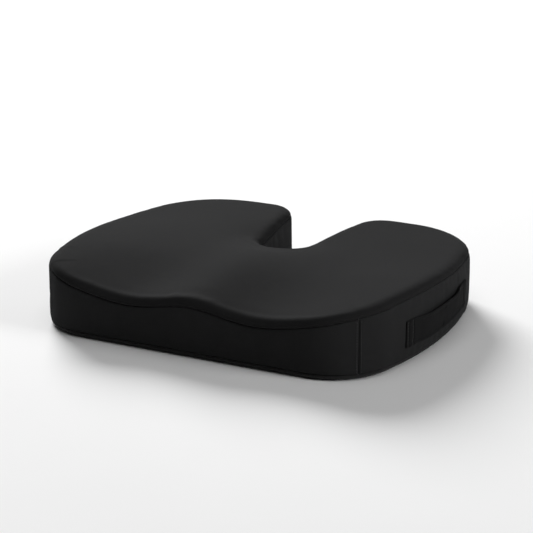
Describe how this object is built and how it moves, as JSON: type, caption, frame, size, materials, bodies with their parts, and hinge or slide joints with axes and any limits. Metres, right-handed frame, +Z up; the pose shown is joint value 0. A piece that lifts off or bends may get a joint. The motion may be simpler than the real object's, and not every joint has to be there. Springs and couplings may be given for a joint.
{
  "type": "seat cushion",
  "caption": "U-shaped contoured foam seat cushion with a rear cutout, two leg grooves, a zipped fabric cover, a side carrying strap and a grip-dot base.",
  "frame": {"origin": "under the middle of the cushion, on the surface that it rests on", "axes": "+Z up, +Y towards the rear, where the cutout opens, +X to the sitter's right, where the carrying strap is"},
  "size_m": [0.4541, 0.366, 0.082],
  "materials": {
    "seat_fabric": "fine short-pile knit, charcoal black, matt with a soft sheen at grazing angles",
    "band_fabric": "fine knit, charcoal black, matt",
    "base_fabric": "plain woven fabric, black, matt",
    "grip_rubber": "silicone print, black, satin",
    "foam": "open-cell slow-recovery foam, off-white, matt",
    "liner": "thin stretch jersey, pale grey",
    "zip_tape": "woven polyester tape, black",
    "zip_teeth": "moulded plastic, black, satin",
    "zip_metal": "black enamelled metal, satin",
    "strap_fabric": "fine knit over a thin pad, charcoal black, matt",
    "thread": "spun polyester thread, charcoal black"
  },
  "bodies": {
    "cushion": {"foam_core": "foam", "liner_upper": "liner", "liner_lower": "liner", "cover_top_panel": "seat_fabric", "cover_front_band": "band_fabric", "cover_right_band": "band_fabric", "cover_cutout_band": "band_fabric", "cover_left_front_band": "band_fabric", "cover_left_rear_band": "band_fabric", "zip_panel_upper": "band_fabric", "zip_panel_lower": "band_fabric", "cover_bottom_panel": "base_fabric", "grip_dots": "grip_rubber", "zip_tape_upper": "zip_tape", "zip_tape_lower": "zip_tape", "zip_teeth_upper": "zip_teeth", "zip_teeth_lower": "zip_teeth", "zip_end_stops": "zip_metal", "handle_end_front": "strap_fabric", "handle_end_rear": "strap_fabric", "handle_stitching": "thread", "seam_stitching": "thread"},
    "slider": {"zip_slider": "zip_metal"},
    "pull": {"zip_pull": "zip_metal"},
    "handle": {"handle_strap": "strap_fabric"}
  },
  "joints": [
    {"name": "zip_slide", "type": "hinge", "parent": "cushion", "child": "slider", "pos_m": [0.27497, -0.01415, 0.027], "axis": [0, 0, 1], "range_deg": [0, 18.5]},
    {"name": "pull_swing", "type": "hinge", "parent": "slider", "child": "pull", "pos_m": [-0.22237, 0.06306, 0.027], "axis": [0, 0, -1], "range_deg": [0, 165]},
    {"name": "strap_lift", "type": "slide", "parent": "cushion", "child": "handle", "axis": [1, 0.0052, 0], "range_m": [0, 0.025]}
  ]
}
